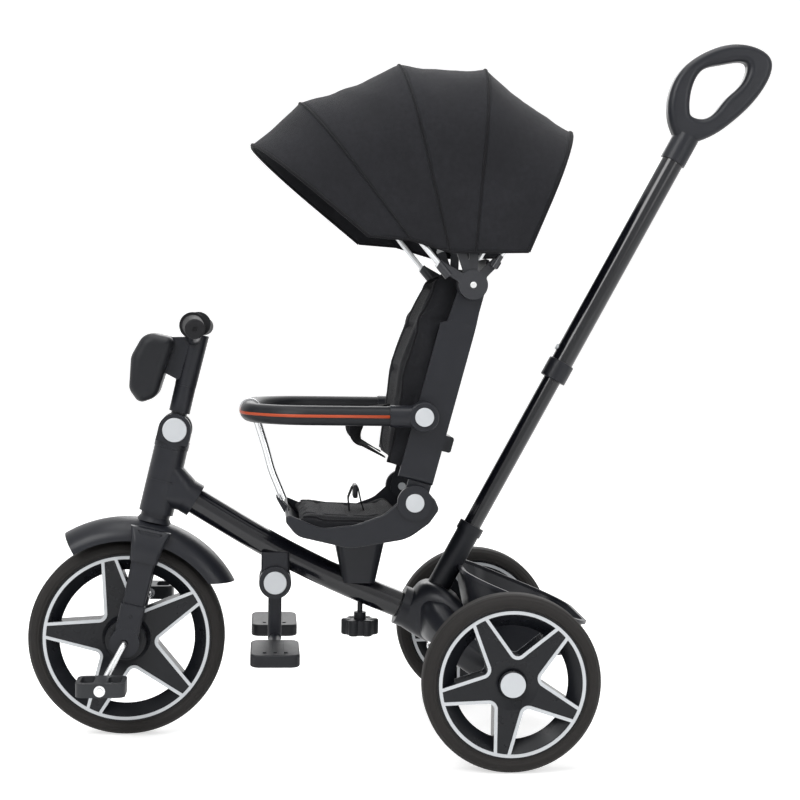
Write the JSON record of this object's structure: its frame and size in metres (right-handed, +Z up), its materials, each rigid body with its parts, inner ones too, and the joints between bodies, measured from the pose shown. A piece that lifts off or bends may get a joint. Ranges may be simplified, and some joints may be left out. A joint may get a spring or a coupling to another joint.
{
  "type": "children's tricycle",
  "caption": "Children's tricycle with star-spoked wheels, front pedals, reclining seat with safety bar, fold-back canopy, rear basket and a telescopic push handle.",
  "frame": {"origin": "on the ground under the middle of the bounding box", "axes": "+Z up, front wheel towards -Y, +X towards the rider's left"},
  "size_m": [0.4996, 1.102, 1.0436],
  "materials": {
    "dark_plastic": "satin moulded",
    "bright_steel": "plated",
    "silver_plastic": "silver lacquer",
    "gloss_tube": "gloss powder coat",
    "dark_fabric": "woven",
    "tyre_rubber": "matte foam",
    "soft_grip": "matte",
    "webbing": "woven webbing"
  },
  "bodies": {
    "frame": {"main_tube": "gloss_tube", "head_shell": "dark_plastic", "head_bushes": "dark_plastic", "rear_basket": "dark_plastic", "rear_body": "dark_plastic", "rear_axle": "bright_steel", "body_bolts": "bright_steel", "handle_ferrule": "dark_plastic", "handle_lower_tube": "gloss_tube", "footrest_hinge": "dark_plastic", "footrest_pin": "silver_plastic", "seat_pan": "dark_plastic", "seat_cushion": "dark_fabric", "recline_pins": "silver_plastic", "crotch_strap": "webbing"},
    "steering": {"front_fork": "dark_plastic", "fork_covers": "dark_plastic", "front_fender": "dark_plastic", "stem_knuckle": "dark_plastic"},
    "front_wheel": {"front_tyre": "tyre_rubber", "front_rim": "dark_plastic", "front_rim_trim": "silver_plastic", "crank_rod": "bright_steel"},
    "pedal_left": {"pedal_left": "dark_plastic"},
    "pedal_right": {"pedal_right": "dark_plastic"},
    "stem": {"stem_tube": "dark_plastic", "handlebar": "dark_plastic", "handlebar_grips": "soft_grip", "front_pod": "dark_plastic"},
    "stem_button_left": {"stem_button_left": "silver_plastic"},
    "stem_button_right": {"stem_button_right": "silver_plastic"},
    "rear_wheel_left": {"rear_tyre_left": "tyre_rubber", "rear_rim_left": "dark_plastic", "rear_rim_trim_left": "silver_plastic"},
    "rear_wheel_right": {"rear_tyre_right": "tyre_rubber", "rear_rim_right": "dark_plastic", "rear_rim_trim_right": "silver_plastic"},
    "footrest": {"footrest_leg": "dark_plastic", "footrest_pads": "dark_plastic"},
    "seat_knob": {"seat_knob": "dark_plastic"},
    "backrest": {"backrest_shell": "dark_plastic", "backrest_cushion": "dark_fabric", "harness_straps": "webbing", "bar_pins": "silver_plastic", "canopy_rear_bow": "silver_plastic"},
    "recline_latch": {"recline_latch": "dark_plastic"},
    "safety_bar": {"safety_bar": "dark_plastic", "bar_hubs": "dark_plastic"},
    "bar_strut": {"bar_strut": "bright_steel"},
    "canopy_third": {"canopy_third_bow": "silver_plastic", "canopy_rear_panel": "dark_fabric"},
    "canopy_second": {"canopy_second_bow": "silver_plastic", "canopy_middle_panel": "dark_fabric"},
    "canopy_front": {"canopy_front_bow": "silver_plastic", "canopy_front_panel": "dark_fabric", "canopy_visor": "dark_fabric"},
    "handle_upper": {"handle_upper_tube": "gloss_tube", "handle_collar": "dark_plastic", "handle_loop": "dark_plastic"},
    "handle_button": {"handle_button": "silver_plastic"}
  },
  "joints": [
    {"name": "steer", "type": "hinge", "parent": "frame", "child": "steering", "pos_m": [0, -0.405, 0.145], "axis": [0, 0.2164, 0.9763], "range_deg": [-40, 40]},
    {"name": "front_wheel_spin", "type": "hinge", "parent": "steering", "child": "front_wheel", "pos_m": [0, -0.405, 0.145], "axis": [1, 0, 0], "continuous": true},
    {"name": "pedal_left_spin", "type": "hinge", "parent": "front_wheel", "child": "pedal_left", "pos_m": [0.113, -0.43223, 0.09379], "axis": [1, 0, 0], "continuous": true},
    {"name": "pedal_right_spin", "type": "hinge", "parent": "front_wheel", "child": "pedal_right", "pos_m": [-0.113, -0.37777, 0.19621], "axis": [1, 0, 0], "continuous": true},
    {"name": "stem_fold", "type": "hinge", "parent": "steering", "child": "stem", "pos_m": [0, -0.33617, 0.45546], "axis": [1, 0, 0], "range_deg": [0, 75]},
    {"name": "stem_button_left_press", "type": "slide", "parent": "steering", "child": "stem_button_left", "axis": [-1, 0, 0], "range_m": [0, 0.003], "stiffness_N_per_m": 600, "springref_m": -0.001},
    {"name": "stem_button_right_press", "type": "slide", "parent": "steering", "child": "stem_button_right", "axis": [1, 0, 0], "range_m": [0, 0.003], "stiffness_N_per_m": 600, "springref_m": -0.001},
    {"name": "rear_wheel_left_spin", "type": "hinge", "parent": "frame", "child": "rear_wheel_left", "pos_m": [0.228, 0.14, 0.1245], "axis": [1, 0, 0], "continuous": true},
    {"name": "rear_wheel_right_spin", "type": "hinge", "parent": "frame", "child": "rear_wheel_right", "pos_m": [-0.228, 0.14, 0.1245], "axis": [1, 0, 0], "continuous": true},
    {"name": "footrest_fold", "type": "hinge", "parent": "frame", "child": "footrest", "pos_m": [0, -0.186, 0.23015], "axis": [1, 0, 0], "range_deg": [0, 60]},
    {"name": "seat_knob_turn", "type": "hinge", "parent": "frame", "child": "seat_knob", "pos_m": [0, -0.058, 0.2], "axis": [0, 0, 1], "continuous": true},
    {"name": "recline", "type": "hinge", "parent": "frame", "child": "backrest", "pos_m": [0, 0.0116, 0.361], "axis": [-1, 0, 0], "range_deg": [0, 12]},
    {"name": "recline_latch_lift", "type": "slide", "parent": "backrest", "child": "recline_latch", "axis": [0, 0.2521, 0.9677], "range_m": [0, 0.008], "stiffness_N_per_m": 400, "springref_m": -0.002},
    {"name": "bar_level", "type": "hinge", "parent": "backrest", "child": "safety_bar", "pos_m": [0, 0.021, 0.48596], "axis": [1, 0, 0], "range_deg": [0, 12]},
    {"name": "strut_swing", "type": "hinge", "parent": "safety_bar", "child": "bar_strut", "pos_m": [0, -0.226, 0.48596], "axis": [-1, 0, 0], "range_deg": [0, 10.8]},
    {"name": "canopy_fold", "type": "hinge", "parent": "backrest", "child": "canopy_third", "pos_m": [0, 0.089, 0.674], "axis": [-1, 0, 0], "range_deg": [0, 20], "deforming": ["canopy_rear_panel", "canopy_middle_panel", "canopy_front_panel"]},
    {"name": "canopy_second_fold", "type": "hinge", "parent": "canopy_third", "child": "canopy_second", "pos_m": [0, 0.089, 0.674], "axis": [-1, 0, 0], "range_deg": [0, 7]},
    {"name": "canopy_front_fold", "type": "hinge", "parent": "canopy_second", "child": "canopy_front", "pos_m": [0, 0.089, 0.674], "axis": [-1, 0, 0], "range_deg": [0, 20]},
    {"name": "handle_slide", "type": "slide", "parent": "frame", "child": "handle_upper", "axis": [0, -0.471, -0.8821], "range_m": [0, 0.24]},
    {"name": "handle_button_press", "type": "slide", "parent": "handle_upper", "child": "handle_button", "axis": [0, 0.8821, -0.471], "range_m": [0, 0.0014], "stiffness_N_per_m": 800, "springref_m": -0.0006}
  ],
  "couplings": [
    {"joint": "bar_level", "follows": "recline", "ratio": 1},
    {"joint": "strut_swing", "follows": "recline", "ratio": 0.9},
    {"joint": "canopy_second_fold", "follows": "canopy_fold", "ratio": 0.35},
    {"joint": "canopy_front_fold", "follows": "canopy_fold", "ratio": 1}
  ]
}
